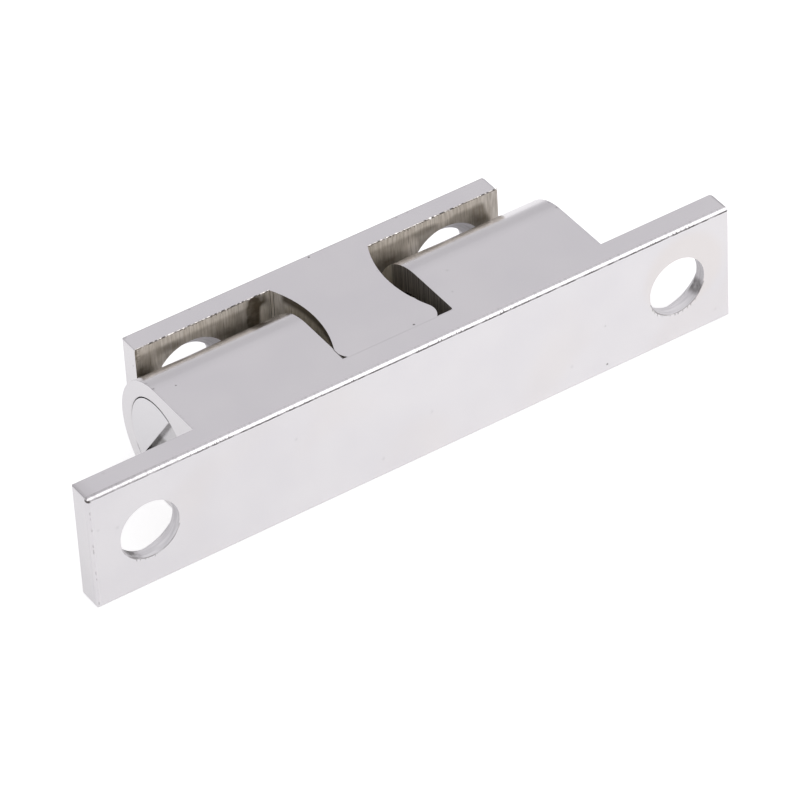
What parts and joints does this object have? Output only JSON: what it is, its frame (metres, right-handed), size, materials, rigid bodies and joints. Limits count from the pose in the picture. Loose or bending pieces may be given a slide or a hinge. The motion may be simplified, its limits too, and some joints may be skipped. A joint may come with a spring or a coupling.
{
  "type": "double ball catch",
  "caption": "Cupboard door ball catch: a plate with slotted barrels whose sprung balls grip a strike's waisted tongue, shown closed.",
  "frame": {"origin": "middle of the case's mounting face", "axes": "+X along the catch, +Y from the case's mounting face towards the strike, +Z across the width, up as it lies on its long edges"},
  "size_m": [0.043, 0.0112, 0.008],
  "materials": {
    "plated_brass": "bright nickel plate on brass, sawn faces left dull",
    "ball_steel": "ground and polished steel",
    "spring_steel": "bright drawn wire",
    "screw_steel": "bright nickel plate on steel"
  },
  "bodies": {
    "case": {"case": "plated_brass", "spring_left": "spring_steel", "spring_right": "spring_steel"},
    "strike": {"strike": "plated_brass"},
    "ball_left": {"ball_left": "ball_steel"},
    "ball_right": {"ball_right": "ball_steel"},
    "tension_screw_left": {"tension_screw_left": "screw_steel"},
    "tension_screw_right": {"tension_screw_right": "screw_steel"}
  },
  "joints": [
    {"name": "strike_slide", "type": "slide", "parent": "case", "child": "strike", "axis": [0, 1, 0], "range_m": [0, 0.008]},
    {"name": "ball_left_slide", "type": "slide", "parent": "case", "child": "ball_left", "axis": [-1, 0, 0], "range_m": [0, 0.0023], "stiffness_N_per_m": 1900, "springref_m": -0.0009, "deforming": ["spring_left"]},
    {"name": "ball_right_slide", "type": "slide", "parent": "case", "child": "ball_right", "axis": [1, 0, 0], "range_m": [0, 0.0023], "stiffness_N_per_m": 1900, "springref_m": -0.0009, "deforming": ["spring_right"]},
    {"name": "tension_screw_left_turn", "type": "hinge", "parent": "case", "child": "tension_screw_left", "pos_m": [-0.01366, 0.00565, 0], "axis": [1, 0, 0], "range_deg": [0, 630]},
    {"name": "tension_screw_right_turn", "type": "hinge", "parent": "case", "child": "tension_screw_right", "pos_m": [0.01366, 0.00565, 0], "axis": [-1, 0, 0], "range_deg": [0, 630]}
  ],
  "couplings": [
    {"joint": "ball_left_slide", "follows": "strike_slide", "ratio": 0.28},
    {"joint": "ball_right_slide", "follows": "strike_slide", "ratio": 0.28}
  ]
}
